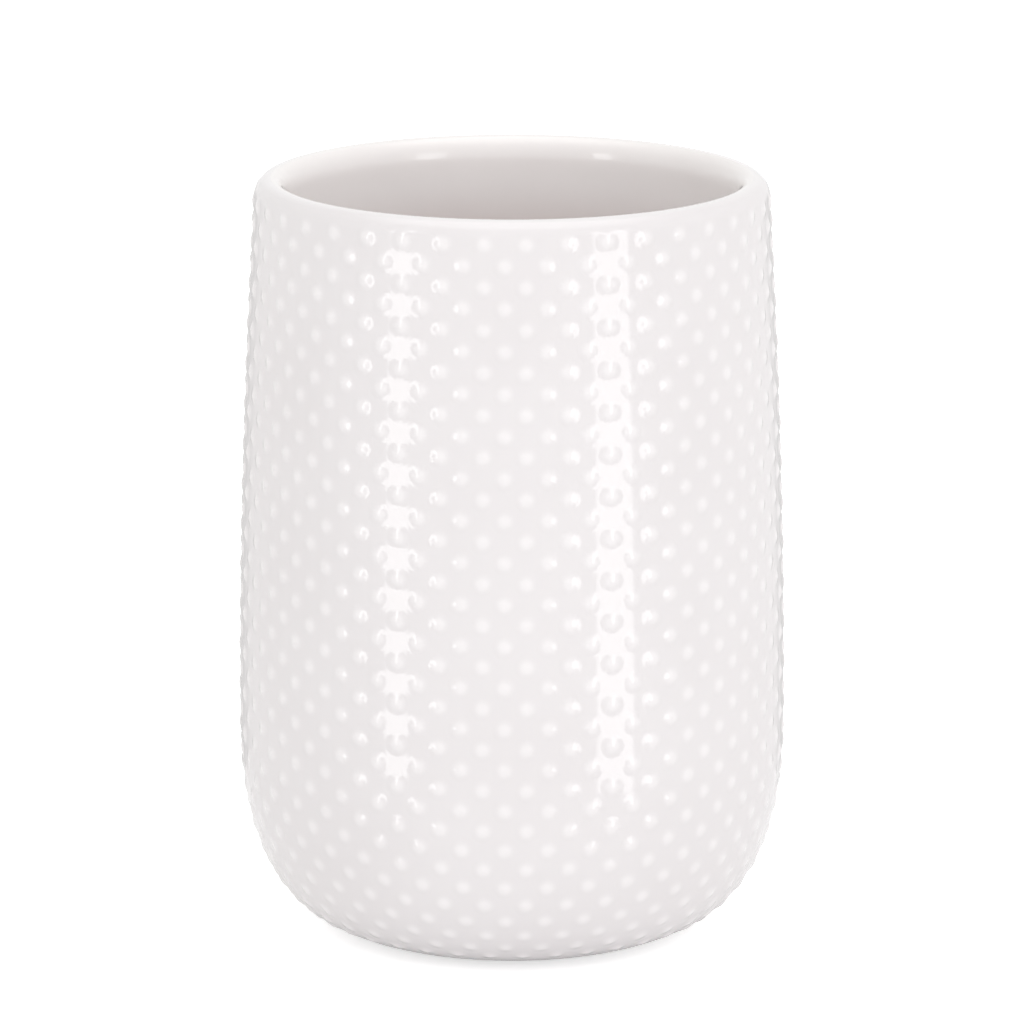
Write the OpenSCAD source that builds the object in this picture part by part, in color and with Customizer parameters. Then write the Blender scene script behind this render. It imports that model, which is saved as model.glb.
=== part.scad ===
// Bathroom tumbler: a slip-cast cup with a glazed skin and a staggered pattern of raised round dots.
// Lengths are in millimetres. The cup stands on the XY plane with its axis on Z.

/* [Overall] */
// Height from the table to the top of the lip
height = 110; // [95:1:130]
// Widest diameter of the smooth side, without the dots
belly_d = 78.6; // [76:0.2:90]
// Height of the widest place above the table
belly_height = 30; // [26:1:40]

/* [Lip and wall] */
// Inside diameter of the mouth, at the middle of the lip
mouth_d = 64; // [58:0.5:66]
// Thickness of the fully rounded lip
lip_thickness = 4.65; // [3:0.05:5.5]
// Thickness of the side and the floor at and below the widest place, glaze included
wall = 4.2; // [3:0.1:5.5]

/* [Side curve] */
// How far below the lip the side keeps its upright direction
lip_pull = 3; // [1:0.5:12]
// How far above the widest place the side keeps its upright direction
belly_pull_up = 39; // [20:1:45]
// How far below the widest place the side keeps its upright direction
belly_pull_down = 14; // [9:0.5:17]
// How far out from the foot the underside stays level
foot_pull = 15.5; // [9:0.5:17]
// Flat steps along each half of the side curve
curve_steps = 24; // [12:1:32]

/* [Foot] */
// Outside diameter of the bare foot ring
foot_d = 40; // [34:0.5:44]
// Width of the bare foot ring
foot_width = 3; // [2:0.25:5]
// How far the foot ring stands below the underside
foot_height = 0.5; // [0.3:0.1:1.5]
// Depth of the hollow inside the foot ring
recess_depth = 1.2; // [0.8:0.1:2]

/* [Glaze] */
// Thickness of the glaze
glaze = 0.3; // [0.2:0.05:0.5]

/* [Dots] */
// Diameter of a dot
dot_d = 2.2; // [1.4:0.1:2.6]
// How far a dot stands off the side
dot_height = 0.4; // [0.2:0.05:0.7]
// Dots in one row, all the way round
dots_round = 40; // [30:1:44]
// Distance from row to row, along the side curve
row_pitch = 2.95; // [2.7:0.05:4]
// Distance from the middle of the lip to the first row, along the side curve
first_row_drop = 0.85; // [0.6:0.05:4]
// Plain strip left between the last row and the foot ring, along the side curve
plain_strip = 8; // [5:0.5:12]
// Turn of the whole pattern about the axis, in degrees
pattern_turn = -1.575; // [-9:0.005:9]

/* [Hidden] */
$fn = 96;
DOT_FN = 24;
DOT_BANDS = 4;
LIP_STEPS = 12;
// Polar angle of the front, where the pattern starts
FRONT = -90;
GLAZE_WHITE = [0.95, 0.94, 0.94];
CLAY_WHITE = [0.90, 0.87, 0.83];

lip_r = lip_thickness / 2;
lip_middle_r = mouth_d / 2 + lip_r;
lip_z = height - lip_r;
belly_r = belly_d / 2;
foot_r = foot_d / 2;
recess_r = foot_r - foot_width;
underside_z = foot_height;
floor_z = underside_z + wall;
dot_r = dot_d / 2;
// Radius of the ball whose cap is a dot
ball_r = (dot_r * dot_r + dot_height * dot_height) / (2 * dot_height);

// A point at share t of the cubic curve through its four guides g, and the curve's heading there
function curve_point(g, t) =
    pow(1 - t, 3) * g[0] + 3 * pow(1 - t, 2) * t * g[1] + 3 * (1 - t) * pow(t, 2) * g[2] + pow(t, 3) * g[3];
function curve_heading(g, t) =
    pow(1 - t, 2) * (g[1] - g[0]) + 2 * (1 - t) * t * (g[2] - g[1]) + pow(t, 2) * (g[3] - g[2]);
// The direction that faces out of the cup where the side runs down along a heading
function outward(heading) = [-heading.y, heading.x] / norm(heading);
function reversed(points) = [for (i = [len(points) - 1 : -1 : 0]) points[i]];

// Guides of the finished side, as [radius, height]: from the lip to the belly, and on to the foot
UPPER_HALF = [[lip_middle_r + lip_r, lip_z], [lip_middle_r + lip_r, lip_z - lip_pull],
              [belly_r, belly_height + belly_pull_up], [belly_r, belly_height]];
LOWER_HALF = [[belly_r, belly_height], [belly_r, belly_height - belly_pull_down],
              [foot_r + foot_pull, underside_z], [foot_r, underside_z]];

// One half of the side, at a depth under its finished surface that changes evenly along the way
function half_side(guides, depth_above, depth_below) = [for (i = [1 : curve_steps])
    let (t = i / curve_steps, depth = depth_above + (depth_below - depth_above) * t)
        curve_point(guides, t) - depth * outward(curve_heading(guides, t))];
// The whole side, at one depth under the lip and at another at and below the belly
function side(lip_depth, wall_depth) = concat(half_side(UPPER_HALF, lip_depth, wall_depth),
                                              half_side(LOWER_HALF, wall_depth, wall_depth));
// The round of the lip at a depth under its surface, between two angles counted from the outside
function lip_round(depth, from, to) = [for (i = [0 : LIP_STEPS])
    let (angle = from + (to - from) * i / LIP_STEPS)
        [lip_middle_r + (lip_r - depth) * cos(angle), lip_z + (lip_r - depth) * sin(angle)]];

// The fired clay: side, floor and the bare ring that it stands on
module clay_body() {
    color(CLAY_WHITE) rotate_extrude() polygon(concat(
        lip_round(glaze, 180, 0),
        side(glaze, glaze),
        [[foot_r, 0], [recess_r, 0], [recess_r, recess_depth + glaze], [0, recess_depth + glaze]],
        [[0, floor_z - glaze]],
        reversed(side(lip_thickness - glaze, wall - glaze))));
}

// Glaze over the outside, from the crown of the lip to the foot ring
module outer_glaze() {
    color(GLAZE_WHITE) rotate_extrude() polygon(concat(
        lip_round(0, 90, 0),
        side(0, 0),
        reversed(side(glaze, glaze)),
        lip_round(glaze, 0, 90)));
}

// Glaze over the inside, from the crown of the lip to the middle of the floor
module inner_glaze() {
    color(GLAZE_WHITE) rotate_extrude() polygon(concat(
        lip_round(glaze, 90, 180),
        side(lip_thickness - glaze, wall - glaze),
        [[0, floor_z - glaze], [0, floor_z]],
        reversed(side(lip_thickness, wall)),
        lip_round(0, 180, 90)));
}

// Glaze over the hollow inside the foot ring
module base_glaze() {
    color(GLAZE_WHITE) translate([0, 0, recess_depth]) cylinder(h = glaze, r = recess_r);
}

// The finished side as a chain of points, and how far along it each one lies
CHAIN = concat([UPPER_HALF[0]], side(0, 0));
function step_length(i) = i + 1 < len(CHAIN) ? norm(CHAIN[i + 1] - CHAIN[i]) : 0;
RUN = [for (i = 0, run = 0; i < len(CHAIN); run = run + step_length(i), i = i + 1) run];
last_row_run = RUN[len(RUN) - 1] - plain_strip;
dot_rows = floor((last_row_run - first_row_drop) / row_pitch) + 1;

// One dot: the cap of a ball, flat side down
module dot() {
    rotate_extrude($fn = DOT_FN) intersection() {
        translate([0, dot_height - ball_r]) circle(r = ball_r);
        square([dot_r, dot_height]);
    }
}

// One row of dots at a distance along the side. Every other row is turned by half a dot's pitch.
module dot_row(row) {
    run = first_row_drop + row * row_pitch;
    i = len([for (reached = RUN) if (reached <= run) reached]) - 1;
    step = CHAIN[i + 1] - CHAIN[i];
    place = CHAIN[i] + step * (run - RUN[i]) / norm(step);
    facing = outward(step);
    pitch_angle = 360 / dots_round;
    turn = FRONT + pattern_turn + (row % 2 == 0 ? pitch_angle / 2 : 0);
    for (k = [0 : dots_round - 1])
        rotate([0, 0, turn + k * pitch_angle])
            translate([place.x, 0, place.y])
                rotate([0, atan2(facing.x, facing.y), 0])
                    dot();
}

// The rows of one band, counted from the lip
module dot_band(band) {
    color(GLAZE_WHITE)
        for (row = [ceil(dot_rows * band / DOT_BANDS) : ceil(dot_rows * (band + 1) / DOT_BANDS) - 1])
            dot_row(row);
}

module upper_dots() { dot_band(0); }
module middle_dots() { dot_band(1); }
module belly_dots() { dot_band(2); }
module lower_dots() { dot_band(3); }

clay_body();
outer_glaze();
inner_glaze();
base_glaze();
upper_dots();
middle_dots();
belly_dots();
lower_dots();
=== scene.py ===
import math

import bpy
import numpy as np
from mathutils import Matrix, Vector


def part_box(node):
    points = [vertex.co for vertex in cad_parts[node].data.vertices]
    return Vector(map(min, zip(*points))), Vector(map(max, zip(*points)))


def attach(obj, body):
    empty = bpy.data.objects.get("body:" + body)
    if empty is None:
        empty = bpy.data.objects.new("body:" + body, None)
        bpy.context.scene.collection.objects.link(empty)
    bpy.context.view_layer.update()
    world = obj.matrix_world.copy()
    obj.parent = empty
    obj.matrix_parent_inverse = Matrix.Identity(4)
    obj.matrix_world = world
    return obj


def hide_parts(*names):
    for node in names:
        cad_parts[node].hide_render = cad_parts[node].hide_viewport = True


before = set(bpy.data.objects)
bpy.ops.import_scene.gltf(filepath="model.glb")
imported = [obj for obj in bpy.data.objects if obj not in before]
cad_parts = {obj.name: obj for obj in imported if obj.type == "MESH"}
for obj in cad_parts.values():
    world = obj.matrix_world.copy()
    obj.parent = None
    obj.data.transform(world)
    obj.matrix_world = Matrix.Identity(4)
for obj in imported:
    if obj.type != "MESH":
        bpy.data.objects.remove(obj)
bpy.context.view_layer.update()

# Sizes are in metres, angles in degrees. What the CAD pieces show is read from them.
MM = 0.001
outer_low, outer_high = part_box("outer_glaze")
inner_low, inner_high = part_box("inner_glaze")
base_low, base_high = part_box("base_glaze")
HEIGHT = outer_high.z
BELLY_R = outer_high.x
UNDERSIDE_Z = outer_low.z
GLAZE = base_high.z - base_low.z
RECESS_Z = base_low.z
RECESS_R = base_high.x
FLOOR_Z = inner_low.z + GLAZE
WALL = FLOOR_Z - UNDERSIDE_Z

# The side curve, with the names that the CAD source gives its sizes
MOUTH_R = 32 * MM
LIP_THICKNESS = 4.65 * MM
LIP_PULL = 3 * MM
BELLY_Z = 30 * MM
BELLY_PULL_UP = 39 * MM
BELLY_PULL_DOWN = 14 * MM
FOOT_PULL = 15.5 * MM
FOOT_WIDTH = 3 * MM
FOOT_R = RECESS_R + FOOT_WIDTH
LIP_R = LIP_THICKNESS / 2
LIP_MIDDLE_R = MOUTH_R + LIP_R
LIP_Z = HEIGHT - LIP_R
UPPER_HALF = np.array([[LIP_MIDDLE_R + LIP_R, LIP_Z], [LIP_MIDDLE_R + LIP_R, LIP_Z - LIP_PULL],
                       [BELLY_R, BELLY_Z + BELLY_PULL_UP], [BELLY_R, BELLY_Z]])
LOWER_HALF = np.array([[BELLY_R, BELLY_Z], [BELLY_R, BELLY_Z - BELLY_PULL_DOWN],
                       [FOOT_R + FOOT_PULL, UNDERSIDE_Z], [FOOT_R, UNDERSIDE_Z]])
CURVE_STEPS = 200

# The dots: a staggered pattern on the side curve, counted from the widest point of the lip
DOTS_ROUND = 40
ROW_PITCH = 2.95 * MM
FIRST_ROW = 0.85 * MM
PLAIN_STRIP = 8 * MM
FRONT = -90
PATTERN_TURN = -1.575


def curve(guides, share):
    """Points and headings of a cubic curve at shares of its way."""
    t = np.asarray(share)[:, None]
    a, b, c, d = guides
    points = (1 - t) ** 3 * a + 3 * (1 - t) ** 2 * t * b + 3 * (1 - t) * t ** 2 * c + t ** 3 * d
    heading = (1 - t) ** 2 * (b - a) + 2 * (1 - t) * t * (c - b) + t ** 2 * (d - c)
    return points, heading / np.linalg.norm(heading, axis=1, keepdims=True)


def outward(heading):
    """The direction out of the cup where the side runs down along a heading."""
    return np.stack([-heading[:, 1], heading[:, 0]], axis=1)


def lip_round(angles, depth=0.0):
    """Points on the round of the lip, by their angle from the outside, and the directions out of it."""
    a = np.radians(angles)
    facing = np.stack([np.cos(a), np.sin(a)], axis=1)
    return [LIP_MIDDLE_R, LIP_Z] + (LIP_R - depth) * facing, facing


def side_line():
    """The outside from the crown of the lip to the foot: run, point and facing of each step."""
    points, facing = lip_round(np.linspace(90, 0, CURVE_STEPS))
    for guides in (UPPER_HALF, LOWER_HALF):
        more, heading = curve(guides, np.linspace(0, 1, CURVE_STEPS)[1:])
        points, facing = np.vstack([points, more]), np.vstack([facing, outward(heading)])
    run = np.concatenate([[0], np.cumsum(np.linalg.norm(np.diff(points, axis=0), axis=1))])
    return run - run[CURVE_STEPS - 1], points, facing


SIDE_RUN, SIDE_POINTS, SIDE_FACING = side_line()
CROWN, FOOT = SIDE_RUN[0], SIDE_RUN[-1]
ROWS = int((FOOT - PLAIN_STRIP - FIRST_ROW) / ROW_PITCH) + 1


def on_side(run):
    """Radius, height and facing of the outside at runs down it."""
    columns = np.hstack([SIDE_POINTS, SIDE_FACING]).T
    return [np.interp(run, SIDE_RUN, column) for column in columns]


class Mesh:
    """Points with their facing, and faces, gathered for one piece."""

    def __init__(self):
        self.points, self.facings, self.reliefs, self.faces, self.count = [], [], [], [], 0

    def add(self, points, facings, relief=0.0):
        """Adds points of shape (..., 3) and returns their numbers."""
        shape = points.shape[:-1]
        n = int(np.prod(shape))
        self.points.append(points.reshape(n, 3))
        self.facings.append(facings.reshape(n, 3))
        self.reliefs.append(np.broadcast_to(relief, shape).reshape(n))
        self.count += n
        return np.arange(self.count - n, self.count).reshape(shape)

    def face(self, *corners):
        """Adds faces, given by arrays with the numbers of their corners."""
        self.faces += np.stack([np.ravel(c) for c in np.broadcast_arrays(*corners)], axis=1).tolist()

    def bridge(self, ring, following):
        """Joins a closed ring to the next one, which has as many points, or half or twice as many."""
        after, following_after = np.roll(ring, -1), np.roll(following, -1)
        if len(ring) == 2 * len(following):
            self.face(ring[::2], following, ring[1::2])
            self.face(ring[1::2], following, following_after, after[1::2])
        elif 2 * len(ring) == len(following):
            self.face(ring, following[::2], following[1::2])
            self.face(ring, following[1::2], following_after[1::2], after)
        else:
            self.face(ring, following, following_after, after)

    def build(self, name):
        """The finished object, with each point's own facing as its normal."""
        mesh = bpy.data.meshes.new(name)
        mesh.from_pydata(np.vstack(self.points).tolist(), [], self.faces)
        mesh.shade_smooth()
        relief = mesh.attributes.new("relief", "FLOAT", "POINT")
        relief.data.foreach_set("value", np.concatenate(self.reliefs).astype(np.float32))
        facings = np.vstack(self.facings)
        facings /= np.linalg.norm(facings, axis=1, keepdims=True)
        mesh.normals_split_custom_set_from_vertices(facings.tolist())
        piece = bpy.data.objects.new(name, mesh)
        bpy.context.scene.collection.objects.link(piece)
        return piece


def turned(angle, r, z):
    """The point at a polar angle, a radius and a height, or a direction given the same way."""
    a = np.radians(angle)
    angle_cos, angle_sin, z = np.broadcast_arrays(np.cos(a), np.sin(a), z)
    return np.stack([r * angle_cos, r * angle_sin, z], axis=-1)


def on_outside(angle, run, lift=0.0, slope_round=0.0, slope_down=0.0):
    """Points and facings of the outside, lifted off the side curve."""
    r, z, facing_r, facing_z = on_side(run)
    points = turned(angle, r + lift * facing_r, z + lift * facing_z)
    level = turned(angle + 90, np.ones_like(r), 0.0)
    down = turned(angle, facing_z, -facing_r)
    tilt = np.asarray(slope_round)[..., None] * level + np.asarray(slope_down)[..., None] * down
    return points, turned(angle, facing_r, facing_z) - tilt


# The side of a dot: its slope at distances from its middle. It ends in a long soft skirt of glaze.
DOT_REACH = np.array([0, 0.35, 0.7, 0.95, 1.2, 1.5, 1.7, 1.95]) * MM
DOT_SLOPES = np.array([0, 0.19, 0.25, 0.25, 0.16, 0.09, 0.05, 0])
# Rows near the lip stand higher than rows low on the side, where more glaze has settled
DOT_SHARE_LIP = 1.05
DOT_SHARE_FOOT = 0.8
# The white middle of a dot, where the glaze is thin, fades out between these distances
WHITE_TO = 0.4 * MM
WHITE_END = 1.45 * MM
# Distances of the rings round a dot's middle, and how many points each ring has
DOT_RINGS = ((0.3 * MM, 6), (0.7 * MM, 12), (1.1 * MM, 12), (1.5 * MM, 12), (1.95 * MM, 12))
# The room that a full dot needs on every side
DOT_ROOM = 2.02 * MM
# Steps of the pattern's net from a dot to the middle between two dots
NET = 3
COLUMNS = DOTS_ROUND * NET * 2
# Rings of the coat over the lip, down the plain strip, round the edge at the foot and up the back
LIP_RINGS = 4
FOOT_RINGS = 6
EDGE_RINGS = 3
BACK_RINGS = 44
# The lip turns white a little faster than evenly on the way up to its crown
LIP_WHITE_RISE = 1.2


def dot_side(distance):
    """Lift, slope and whiteness of a full dot at a distance from its middle."""
    steps = np.linspace(distance, DOT_REACH[-1], CURVE_STEPS)
    slopes = np.interp(steps, DOT_REACH, DOT_SLOPES)
    fade = np.clip((distance - WHITE_TO) / (WHITE_END - WHITE_TO), 0, 1)
    return np.mean(slopes) * (DOT_REACH[-1] - distance), slopes[0], 1 - fade ** 2 * (3 - 2 * fade)


def net_point(column, depth):
    """Angle and run of a point of the net between the dots."""
    return FRONT + PATTERN_TURN + column * 360 / COLUMNS, FIRST_ROW + depth * ROW_PITCH / NET


def add_net(skin):
    """Adds the net's points between the dots, and gives their numbers by depth and column."""
    depth, column = np.mgrid[-NET:NET * ROWS + 1, 0:COLUMNS]
    used = ((column + depth) % (2 * NET) == 0) | ((column - depth) % (2 * NET) == 0)
    beside = np.abs((column + NET) % (2 * NET) - NET)
    used |= (depth <= 0) & (beside <= -depth)
    used |= (depth >= NET * (ROWS - 1)) & (beside <= depth - NET * (ROWS - 1))
    numbers = np.full(depth.shape, -1)
    numbers[used] = skin.add(*on_outside(*net_point(column[used], depth[used])))
    return numbers


def add_dots(skin, numbers):
    """Adds every dot as rings round its middle, joined to the diamond of the net round it."""
    row, place = [a.ravel() for a in np.mgrid[0:ROWS, 0:DOTS_ROUND]]
    column, depth = NET * ((row + 1) % 2) + 2 * NET * place, NET * row
    middle_angle, middle_run = net_point(column, depth)
    # Low on the side the dots stand closer together, and are as much smaller
    half_pitch = np.pi / DOTS_ROUND * on_side(middle_run)[0]
    room = half_pitch * ROW_PITCH / np.hypot(half_pitch, ROW_PITCH)
    size = np.minimum(1, room / DOT_ROOM)
    high = size * (DOT_SHARE_LIP + (DOT_SHARE_FOOT - DOT_SHARE_LIP) * row / (ROWS - 1))
    middle = skin.add(*on_outside(middle_angle, middle_run, high * dot_side(0.0)[0]), relief=1.0)
    size, slopes = size[:, None], (high / size)[:, None]
    rings = []
    for distance, count in DOT_RINGS:
        way = 2 * np.pi * np.arange(count) / count
        lift, slope, whiteness = dot_side(distance)
        run = middle_run[:, None] + size * distance * np.sin(way)
        r = on_side(run)[0]
        angle = middle_angle[:, None] + np.degrees(size * distance * np.cos(way) / r)
        points, facings = on_outside(angle, run, high[:, None] * lift,
                                     -slope * slopes * np.cos(way), -slope * slopes * np.sin(way))
        rings.append(skin.add(points, facings, relief=whiteness))
    # The diamond of the net round each dot, from its right corner downwards
    step = np.arange(4 * NET)
    across = np.where(step < 2 * NET, NET - step, step - 3 * NET)
    along = np.roll(across, NET)
    rings.append(numbers[depth[:, None] + along + NET, (column[:, None] + across) % COLUMNS])
    ring, after = rings[0], np.roll(rings[0], -1, axis=1)
    skin.face(middle[:, None], after, ring)
    outer, outer_after = rings[1], np.roll(rings[1], -1, axis=1)
    skin.face(ring, outer[:, 1::2], outer[:, ::2])
    skin.face(ring, after, outer_after[:, 1::2], outer[:, 1::2])
    for ring, outer in zip(rings[1:], rings[2:]):
        skin.face(ring, np.roll(ring, -1, axis=1), np.roll(outer, -1, axis=1), outer)


def add_edge_notches(skin, numbers, depth_at_point, step):
    """Fills the notches between the dots of the first or the last row, level by level."""
    middle = 2 * NET * np.arange(DOTS_ROUND)

    def at(level, across):
        """Numbers of the net's points at a level of each notch and a place across it."""
        return numbers[depth_at_point + step * level + NET, (middle + across) % COLUMNS]

    for level in range(NET, 0, -1):
        cells = [(at(level, k), at(level, k + 1), at(level - 1, k + 1), at(level - 1, k))
                 for k in range(1 - level, level - 1)]
        cells.append((at(level, -level), at(level, 1 - level), at(level - 1, 1 - level)))
        cells.append((at(level, level - 1), at(level, level), at(level - 1, level - 1)))
        for cell in cells:
            skin.face(*(cell[::-1] if step < 0 else cell))


def make_outside():
    """The glaze outside, from the crown of the lip to the foot, as one closed coat with its dots."""
    skin = Mesh()
    numbers = add_net(skin)
    add_dots(skin, numbers)
    add_edge_notches(skin, numbers, 0, -1)
    add_edge_notches(skin, numbers, NET * (ROWS - 1), 1)
    angles = net_point(np.arange(COLUMNS), 0)[0]

    def ring(run, relief=0.0):
        """A level ring of the smooth glaze."""
        return skin.add(*on_outside(angles, np.full(COLUMNS, run)), relief)

    # The lip's glaze is thin and as white as on the dots
    first_run, last_run = net_point(0, -NET)[1], net_point(0, NET * ROWS)[1]
    above = [ring(run, min(1, LIP_WHITE_RISE * (first_run - run) / (first_run - CROWN)))
             for run in np.linspace(CROWN, first_run, LIP_RINGS + 1)[:-1]]
    for upper, lower in zip(above, above[1:] + [numbers[0]]):
        skin.bridge(upper, lower)
    below = [ring(run) for run in np.linspace(last_run, FOOT - GLAZE, FOOT_RINGS + 1)[1:]]
    # The edge at the foot is rounded up to the clay
    for turn in np.radians(np.linspace(0, 90, EDGE_RINGS + 1)[1:]):
        r, z = FOOT_R + GLAZE * (1 - math.sin(turn)), UNDERSIDE_Z + GLAZE * (1 - math.cos(turn))
        below.append(skin.add(turned(angles, r, z), turned(angles, -math.sin(turn), -math.cos(turn))))
    for upper, lower in zip([numbers[-1]] + below, below):
        skin.bridge(upper, lower)
    # The back of the coat lies on the clay. It has half as many columns.
    back = []
    for run in np.linspace(FOOT, CROWN, BACK_RINGS + 1)[1:]:
        points, facings = on_outside(angles[::2], np.full(COLUMNS // 2, run), -GLAZE)
        back.append(skin.add(points, -facings))
    for lower, upper in zip([below[-1]] + back, back + [above[0]]):
        skin.bridge(lower, upper)
    return skin.build("glaze_outside")


def revolve(name, line, columns):
    """A closed solid from a line round its section: points (radius, height) and their facings, in order."""
    skin = Mesh()
    angles = net_point(np.arange(columns) * COLUMNS / columns, 0)[0]
    rings = []
    for (r, z), (facing_r, facing_z) in zip(*line):
        if r > 0:
            rings.append(skin.add(turned(angles, r, z), turned(angles, facing_r, facing_z)))
        else:
            rings.append(skin.add(np.array([[0, 0, z]]), np.array([[0, 0, facing_z]])))
    for ring, following in zip(rings, rings[1:] + rings[:1]):
        if len(ring) > 1 and len(following) > 1:
            skin.bridge(ring, following)
        elif len(following) > 1:
            skin.face(ring, following, np.roll(following, -1))
        elif len(ring) > 1:
            skin.face(ring, following, np.roll(ring, -1))
    return skin.build(name)


def joined(*lines):
    """Lines put end to end."""
    return [np.vstack([np.atleast_2d(line[i]) for line in lines]) for i in (0, 1)]


def walked_back(line):
    """The same line from its end to its start."""
    return line[0][::-1], line[1][::-1]


# Steps of the revolved sections: each half of the side in front and on the back, the rounds and the levels
SIDE_STEPS = 32
BACK_STEPS = 24
LIP_STEPS = 14
ARC_STEPS = 6
FLOOR_STEPS = 10
# The step of the inner face at which the lip's gentle round ends
GENTLE_END = 1
# Rounding of the bare foot ring's two edges
FOOT_EDGE = 0.4 * MM
# How far in the glaze of the foot's hollow is drawn down along the ring
MENISCUS = 0.35 * MM
# Facings of level stretches
UP = 1
DOWN = -1


def under_side(lip_depth, wall_depth, steps):
    """The side at a depth under its surface, from the lip to the foot. The depth blends above the belly."""
    share = np.linspace(0, 1, steps + 1)[1:]
    blended = lip_depth + (wall_depth - lip_depth) * share
    lines = []
    for guides, depth in ((UPPER_HALF, blended), (LOWER_HALF, wall_depth)):
        points, heading = curve(guides, share)
        facing = outward(heading)
        lines.append((points - np.reshape(depth, (-1, 1)) * facing, facing))
    return joined(*lines)


def level_line(z, r, facing_z):
    """A level stretch from a radius to the axis, and the axis itself."""
    radii = np.linspace(r, 0, FLOOR_STEPS + 1)[1:]
    return np.stack([radii, np.full(FLOOR_STEPS, z)], axis=1), np.tile([0, facing_z], (FLOOR_STEPS, 1))


def arc(middle_r, middle_z, radius, start, end):
    """An arc of a section, between two angles counted from straight out."""
    a = np.radians(np.linspace(start, end, ARC_STEPS))
    facing = np.stack([np.cos(a), np.sin(a)], axis=1)
    return np.array([middle_r, middle_z]) + radius * facing, facing


def inner_face(glaze, steps):
    """The wall's inner face, or the clay under its glaze, from the lip to the floor."""
    points, facing = under_side(LIP_THICKNESS - glaze, WALL - glaze, steps)
    return points, -facing


def gentle_round(end):
    """The glaze over the inner half of the lip, from its crown to a point of the inner face. It has run
    thinner there than elsewhere, which makes the round a little gentler than the clay's."""
    a = np.radians(np.linspace(90, 180, LIP_STEPS))
    across, down = LIP_MIDDLE_R - end[0], HEIGHT - end[1]
    points = np.stack([LIP_MIDDLE_R + across * np.cos(a), HEIGHT + down * (np.sin(a) - 1)], axis=1)
    return points, np.stack([down * np.cos(a), across * np.sin(a)], axis=1)


def make_inside():
    """The glaze inside, from the middle of the floor to the crown of the lip, and back along the clay."""
    points, facing = inner_face(0, SIDE_STEPS)
    front = joined(gentle_round(points[GENTLE_END]),
                   (points[GENTLE_END + 1:], facing[GENTLE_END + 1:]),
                   level_line(FLOOR_Z, FOOT_R, UP))
    back = joined(lip_round(np.linspace(90, 180, LIP_STEPS), GLAZE),
                  inner_face(GLAZE, BACK_STEPS),
                  level_line(FLOOR_Z - GLAZE, FOOT_R, UP))
    return revolve("glaze_inside", joined(walked_back(front), (back[0], -back[1])), COLUMNS)


def make_clay():
    """The fired clay under the glaze, with the bare ring that it stands on."""
    outside = joined(lip_round(np.linspace(180, 0, LIP_STEPS), GLAZE), under_side(GLAZE, GLAZE, BACK_STEPS))
    foot = joined(arc(FOOT_R - FOOT_EDGE, FOOT_EDGE, FOOT_EDGE, 0, -90),
                  arc(RECESS_R + FOOT_EDGE, FOOT_EDGE, FOOT_EDGE, -90, -180),
                  ([[RECESS_R, RECESS_Z + GLAZE]], [[-1, 0]]))
    under = level_line(RECESS_Z + GLAZE, RECESS_R, DOWN)
    floor = level_line(FLOOR_Z - GLAZE, FOOT_R, UP)
    line = joined(outside, foot, under, walked_back(floor), walked_back(inner_face(GLAZE, BACK_STEPS)))
    return revolve("fired_clay", line, COLUMNS // 2)


def make_base():
    """The glaze in the hollow of the foot, drawn down a little where it meets the ring."""
    top = level_line(RECESS_Z + GLAZE, RECESS_R, UP)
    rim_points, rim_facing = arc(RECESS_R - MENISCUS, RECESS_Z - MENISCUS, MENISCUS, 0, 90)
    line = joined(walked_back(top), ([[RECESS_R, RECESS_Z + GLAZE]], [[1, 0]]),
                  (rim_points, -rim_facing), level_line(RECESS_Z, RECESS_R - MENISCUS, DOWN))
    return revolve("glaze_base", line, COLUMNS // 2)


class Nodes:
    """A node tree, with short calls that add nodes to it and wire them."""

    def __init__(self, tree, coordinates):
        self.tree = tree
        self.place = self.node("ShaderNodeTexCoord").outputs[coordinates]

    def fill(self, sockets, inputs):
        """Wires or sets sockets by name or number."""
        for name, value in inputs.items():
            if isinstance(value, bpy.types.NodeSocket):
                self.tree.links.new(value, sockets[name])
            else:
                sockets[name].default_value = value

    def node(self, kind, inputs=None, **settings):
        """Adds a node with its settings, and wires or sets its inputs."""
        node = self.tree.nodes.new(kind)
        for name, value in settings.items():
            setattr(node, name, value)
        self.fill(node.inputs, inputs or {})
        return node

    def arithmetic(self, operation, *values):
        """The result of a sum, by the name of its operation."""
        return self.node("ShaderNodeMath", dict(enumerate(values)), operation=operation).outputs[0]

    def vector(self, operation, *vectors):
        """The number that comes of an operation on vectors."""
        inputs = dict(enumerate(vectors))
        return self.node("ShaderNodeVectorMath", inputs, operation=operation).outputs["Value"]

    def spread(self, value, low, high, to_low=0.0, to_high=1.0, how="SMOOTHSTEP"):
        """Maps a range of values to another one, and stays inside it."""
        inputs = {"Value": value, "From Min": low, "From Max": high, "To Min": to_low, "To Max": to_high}
        return self.node("ShaderNodeMapRange", inputs, interpolation_type=how).outputs["Result"]

    def blend(self, share, first, second, how="MIX"):
        """One colour blended into another."""
        mix = self.node("ShaderNodeMix", data_type="RGBA", blend_type=how)
        self.fill({s.name: s for s in mix.inputs if s.enabled}, {"Factor": share, "A": first, "B": second})
        return [s for s in mix.outputs if s.enabled][0]

    def height(self):
        """The height of the shaded place, or of the way that a ray of the world takes."""
        return self.node("ShaderNodeSeparateXYZ", {"Vector": self.place}).outputs["Z"]

    def show(self, share, first, second, output):
        """Shows a mix of two shaders."""
        mix = self.node("ShaderNodeMixShader", {"Fac": share, 1: first, 2: second})
        self.tree.links.new(mix.outputs[0], self.tree.nodes[output].inputs["Surface"])


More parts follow.
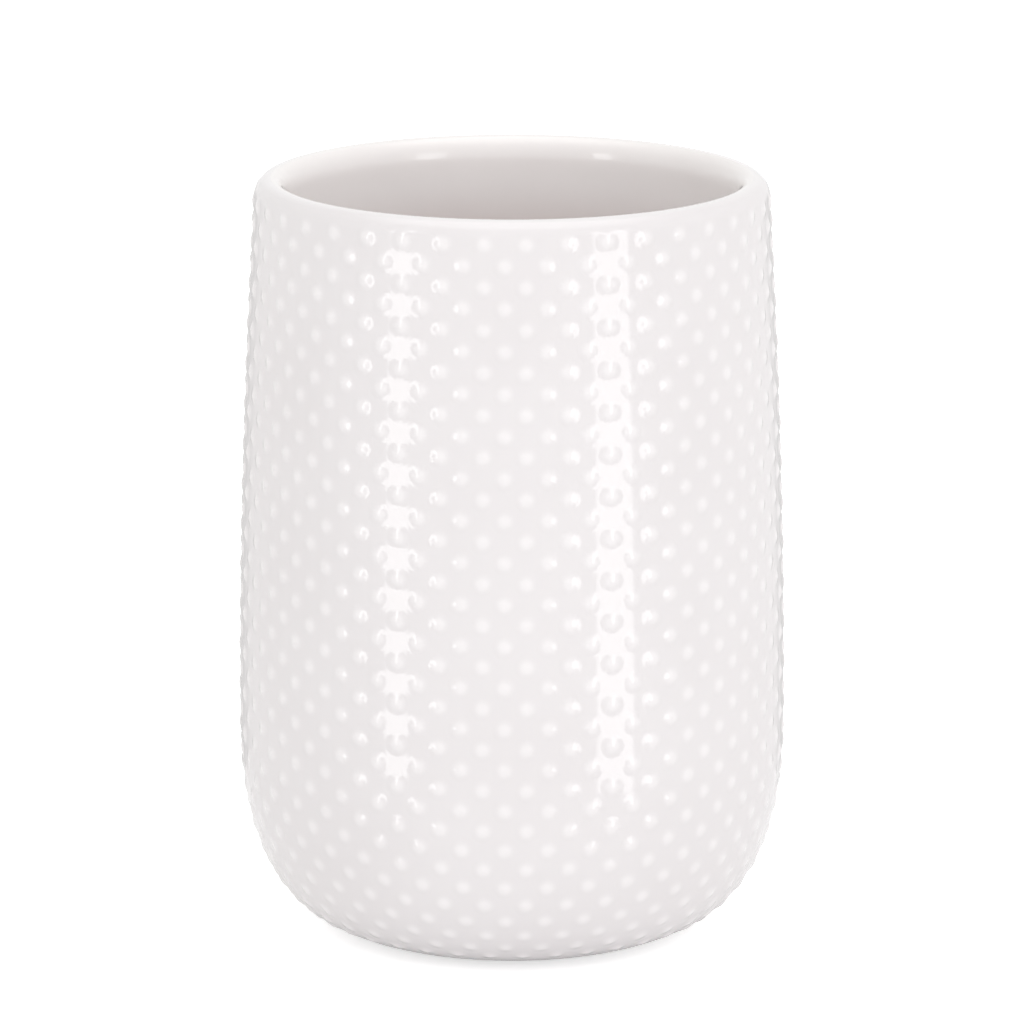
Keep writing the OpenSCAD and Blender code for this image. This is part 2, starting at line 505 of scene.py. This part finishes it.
class Surface(Nodes):
    """A material whose nodes feed the sockets of its own shader."""

    def __init__(self, name, **sockets):
        self.material = bpy.data.materials.new(name)
        self.material.use_nodes = True
        super().__init__(self.material.node_tree, "Object")
        self.shader = self.tree.nodes["Principled BSDF"]
        self.drive(**sockets)

    def noise(self, size, detail=2.0, roughness=0.5):
        """Noise whose features have a size in metres."""
        inputs = {"Vector": self.place, "Scale": 1 / size, "Detail": detail, "Roughness": roughness}
        return self.node("ShaderNodeTexNoise", inputs).outputs["Fac"]

    def raised(self, value, height, normal=None):
        """A bump whose full range of values is a height in metres."""
        inputs = {"Height": value, "Distance": height}
        if normal:
            inputs["Normal"] = normal
        return self.node("ShaderNodeBump", inputs).outputs["Normal"]

    def drive(self, **sockets):
        """Wires or sets the shader's sockets, and gives the material."""
        inputs = {socket.replace("_", " "): value for socket, value in sockets.items()}
        self.fill(self.shader.inputs, inputs)
        return self.material


# Tones are linear, as red, green, blue and opacity
GROUND = (0.86, 0.828, 0.844, 1)
RAISED = (0.94, 0.91, 0.926, 1)
CLOUD_TONE = (0.97, 0.965, 0.965, 1)
# The glaze inside is whitest on the lip, as painted light, and darker under it in a painted shade band
# standing in for the shade inside the mouth. It evens out deep in the well
LIP = (0.98, 0.945, 0.945, 1)
PAINTED_SHADE = (0.87, 0.80, 0.79, 1)
PAINTED_SHADE_FROM = HEIGHT - 6 * MM
PAINTED_SHADE_TO = HEIGHT - 16 * MM
WELL = (0.93, 0.90, 0.895, 1)
WELL_TO = HEIGHT - 40 * MM
PAINTED_TONES_INSIDE = ((PAINTED_SHADE, PAINTED_SHADE_FROM, PAINTED_SHADE_TO), (WELL, PAINTED_SHADE_TO, WELL_TO))
# The glaze's clouding, gloss, waviness and ripple. Ranges are those of the noise that is used.
GLAZE_IOR = 1.5
CLOUD_SIZE = 22 * MM
CLOUD_RANGE = (0.35, 0.7)
CLOUD_SHARE = 0.6
GLOSS_SIZE = 9 * MM
GLOSS_RANGE = (0.3, 0.7)
GLOSS_LOW = 0.015
GLOSS_HIGH = 0.035
WAVE_SIZE = 7 * MM
WAVE_HEIGHT = 0.03 * MM
RIPPLE_SIZE = 1.6 * MM
RIPPLE_HEIGHT = 0.003 * MM
# The bare clay, with its grain, stains and pores
CLAY_TONE = (0.72, 0.67, 0.61, 1)
CLAY_DARK = (0.60, 0.55, 0.49, 1)
CLAY_STAIN = (0.50, 0.46, 0.41, 1)
CLAY_ROUGHNESS = 0.9
CLAY_SHINE = 0.25
GRAIN_SIZE = 0.25 * MM
GRAIN_RANGE = (0.3, 0.75)
GRAIN_HEIGHT = 0.03 * MM
STAIN_SIZE = 6 * MM
STAIN_RANGE = (0.5, 0.75)
STAIN_SHARE = 0.5
PORE_SPACING = 1.3 * MM
PORE_RANGE = (0.06, 0.14)
PORE_DEPTH = 0.05 * MM


def glaze_material(name, colour, raised_tone=None, tones_down=()):
    """A white gloss glaze. It can be thinner and whiter on what is raised, and have other tones further
    down, each with the heights between which it comes in."""
    surface = Surface(name, IOR=GLAZE_IOR)
    if raised_tone:
        relief = surface.node("ShaderNodeAttribute", attribute_name="relief").outputs["Fac"]
        colour = surface.blend(relief, colour, raised_tone)
    for tone, start, end in tones_down:
        colour = surface.blend(surface.spread(surface.height(), start, end), colour, tone)
    cloud = surface.spread(surface.noise(CLOUD_SIZE, detail=3.0), *CLOUD_RANGE, 0.0, CLOUD_SHARE)
    colour = surface.blend(cloud, colour, CLOUD_TONE, "MULTIPLY")
    gloss = surface.spread(surface.noise(GLOSS_SIZE, detail=3.0), *GLOSS_RANGE, GLOSS_LOW, GLOSS_HIGH)
    wave = surface.raised(surface.noise(WAVE_SIZE, detail=1.0), WAVE_HEIGHT)
    ripple = surface.raised(surface.noise(RIPPLE_SIZE), RIPPLE_HEIGHT, wave)
    return surface.drive(Base_Color=colour, Roughness=gloss, Normal=ripple)


def clay_material():
    """Bare fired clay: matt, faintly warm, with a fine grain and a few small pores."""
    surface = Surface("bare_clay", Roughness=CLAY_ROUGHNESS, Specular_IOR_Level=CLAY_SHINE)
    grain = surface.noise(GRAIN_SIZE, detail=4.0, roughness=0.7)
    colour = surface.blend(surface.spread(grain, *GRAIN_RANGE), CLAY_TONE, CLAY_DARK)
    stain = surface.spread(surface.noise(STAIN_SIZE, detail=3.0), *STAIN_RANGE, 0.0, STAIN_SHARE)
    colour = surface.blend(stain, colour, CLAY_STAIN)
    bump = surface.raised(grain, GRAIN_HEIGHT)
    pore = surface.node("ShaderNodeTexVoronoi", {"Vector": surface.place, "Scale": 1 / PORE_SPACING})
    pits = surface.spread(pore.outputs["Distance"], *PORE_RANGE)
    bump = surface.raised(pits, PORE_DEPTH, bump)
    return surface.drive(Base_Color=colour, Normal=bump)


# The pieces
outside = make_outside()
outside.data.materials.append(glaze_material("glaze_outside", GROUND, RAISED))
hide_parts("outer_glaze", "upper_dots", "middle_dots", "belly_dots", "lower_dots")
inside = make_inside()
# The inside's tones by height are painted light on the lip and a painted shade band under it
inside.data.materials.append(glaze_material("glaze_inside", LIP, tones_down=PAINTED_TONES_INSIDE))
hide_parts("inner_glaze")
base = make_base()
base.data.materials.append(glaze_material("glaze_base", GROUND))
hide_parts("base_glaze")
clay = make_clay()
clay.data.materials.append(clay_material())
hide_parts("clay_body")
for piece in (outside, inside, base, clay):
    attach(piece, "root")

# The stage
WHITE = (1, 1, 1, 1)
BLACK = (0, 0, 0, 1)
# Most of the soft light comes from above, a little from the front and the right
AMBIENT_FROM = (0.20, -0.36, 0.911)
AMBIENT_DIM = (0.10, 0.10, 0.05, 1)
AMBIENT_BRIGHT = (1.09, 1.09, 1.08, 1)
# What reflections see overhead is brighter than white by this much, and comes in between two heights
CEILING = 1.5
CEILING_FROM = 0.75
CEILING_TO = 0.97
# The floor glows a little for the camera and less in reflections, so that its shadows stay soft
FLOOR_TONE = (0.9, 0.9, 0.9, 1)
FLOOR_GLOW = 0.6
FLOOR_GLOW_MIRRORED = 0.19
FLOOR_SIZE = 14
# Reflections lose sight of the floor between these distances from the axis
NEAR_FLOOR = 38 * MM
FAR_FLOOR = 62 * MM
# Distance of the cards, and the angles below the level at which they end and over which they fade in
CARD_DISTANCE = 1.3
CARD_LOW = -16.5
CARD_LOW_EDGE = 1.6


def make_world():
    """Plain soft light from all round, and white where the camera or a reflection looks past the object."""
    world = bpy.data.worlds.new("studio")
    bpy.context.scene.world = world
    world.use_nodes = True
    sky = Nodes(world.node_tree, "Generated")
    share = sky.spread(sky.vector("DOT_PRODUCT", sky.place, AMBIENT_FROM), -1, 1, how="LINEAR")
    ambient = sky.tree.nodes["Background"]
    sky.fill(ambient.inputs, {"Color": sky.blend(share, AMBIENT_DIM, AMBIENT_BRIGHT)})
    ceiling = sky.spread(sky.height(), CEILING_FROM, CEILING_TO, 1, 1 + CEILING)
    white = sky.node("ShaderNodeBackground", {"Color": WHITE, "Strength": ceiling})
    path = sky.node("ShaderNodeLightPath").outputs
    seen = sky.arithmetic("MAXIMUM", path["Is Camera Ray"], path["Is Glossy Ray"])
    seen = sky.arithmetic("MAXIMUM", seen, path["Is Transmission Ray"])
    sky.show(seen, ambient.outputs[0], white.outputs[0], "World Output")


def plane(name, width, height, material):
    """A flat stage card in its own XY plane."""
    mesh = bpy.data.meshes.new(name)
    x, y = width / 2, height / 2
    mesh.from_pydata([(-x, -y, 0), (x, -y, 0), (x, y, 0), (-x, y, 0)], [], [(0, 1, 2, 3)])
    mesh.materials.append(material)
    card = bpy.data.objects.new(name, mesh)
    bpy.context.scene.collection.objects.link(card)
    return card


def make_floor():
    """A plain white floor that takes the object's shadow. It shows in the glaze only close to the object,
    so that the tall lights are seen there down to their lower ends, and not at all from below."""
    surface = Surface("floor", Base_Color=FLOOR_TONE, Roughness=1, Specular_IOR_Level=0)
    surface.drive(Emission_Color=WHITE)
    path = surface.node("ShaderNodeLightPath").outputs
    mirrored = surface.arithmetic("MULTIPLY", path["Is Glossy Ray"], FLOOR_GLOW_MIRRORED)
    glow = surface.arithmetic("MULTIPLY_ADD", path["Is Camera Ray"], FLOOR_GLOW, mirrored)
    surface.drive(Emission_Strength=glow)
    below = surface.node("ShaderNodeNewGeometry").outputs["Backfacing"]
    from_below = surface.arithmetic("MULTIPLY", below, path["Is Camera Ray"])
    distant = surface.spread(surface.vector("LENGTH", surface.place), NEAR_FLOOR, FAR_FLOOR)
    distant = surface.arithmetic("MULTIPLY", distant, path["Is Glossy Ray"])
    hidden = surface.arithmetic("MAXIMUM", from_below, distant)
    clear = surface.node("ShaderNodeBsdfTransparent").outputs[0]
    surface.show(hidden, surface.shader.outputs[0], clear, "Material Output")
    plane("floor", FLOOR_SIZE, FLOOR_SIZE, surface.material)


def standing(card, azimuth, middle_z):
    """Stands a card upright at an azimuth from the front, facing the object and unseen by the camera."""
    a = math.radians(azimuth)
    way = Vector((math.sin(a), -math.cos(a), 0))
    card.location = way * CARD_DISTANCE + Vector((0, 0, middle_z))
    card.rotation_euler = way.to_track_quat("-Z", "Y").to_euler()
    card.visible_camera = False


def reach(degrees):
    """How far a card goes from the level or from its middle to cover an angle seen from the cup."""
    return CARD_DISTANCE * math.tan(math.radians(degrees))


def card(name, azimuth, half_width, edge, top, top_edge, level):
    """A tall card at an azimuth, brighter or greyer than the white that it fades to at its rims."""
    surface = Surface(name, Base_Color=BLACK, Specular_IOR_Level=0, Emission_Color=WHITE)
    x, y = surface.node("ShaderNodeSeparateXYZ", {"Vector": surface.place}).outputs[:2]
    side, foot = reach(half_width), reach(CARD_LOW)
    half_height = (reach(top) - foot) / 2
    across = surface.spread(surface.arithmetic("ABSOLUTE", x), side - reach(edge), side, 1, 0)
    low = surface.spread(y, -half_height, -half_height + reach(CARD_LOW_EDGE))
    high = surface.spread(y, half_height - reach(top_edge), half_height, 1, 0)
    share = surface.arithmetic("MULTIPLY", surface.arithmetic("MULTIPLY", across, low), high)
    surface.drive(Emission_Strength=surface.arithmetic("MULTIPLY_ADD", share, level - 1, 1))
    standing(plane(name, 2 * side, 2 * half_height, surface.material), azimuth, foot + half_height)


make_world()
make_floor()
card("softbox_left", azimuth=-48.8, half_width=5.8, edge=1.6, top=30, top_edge=8, level=4.2)
card("softbox_right", azimuth=43.3, half_width=9.2, edge=2.4, top=30, top_edge=8, level=3.75)
card("flag_left", azimuth=-160, half_width=22, edge=20, top=4, top_edge=10, level=0.65)
card("flag_right", azimuth=162, half_width=20, edge=16, top=4, top_edge=10, level=0.66)

# The camera. Its lens and sensor are in millimetres.
CAMERA_ELEVATION = math.radians(13.35)
CAMERA_DISTANCE = 859.1 * MM
AIM_Z = 60.83 * MM
LENS = 209.6
SENSOR = 36
camera = bpy.data.objects.new("camera", bpy.data.cameras.new("camera"))
camera.data.sensor_width = SENSOR
camera.data.lens = LENS
camera.location = (0, -CAMERA_DISTANCE * math.cos(CAMERA_ELEVATION),
                   AIM_Z + CAMERA_DISTANCE * math.sin(CAMERA_ELEVATION))
camera.rotation_euler = (math.pi / 2 - CAMERA_ELEVATION, 0, 0)
bpy.context.scene.collection.objects.link(camera)
bpy.context.scene.camera = camera
bpy.context.scene.view_settings.view_transform = "Standard"
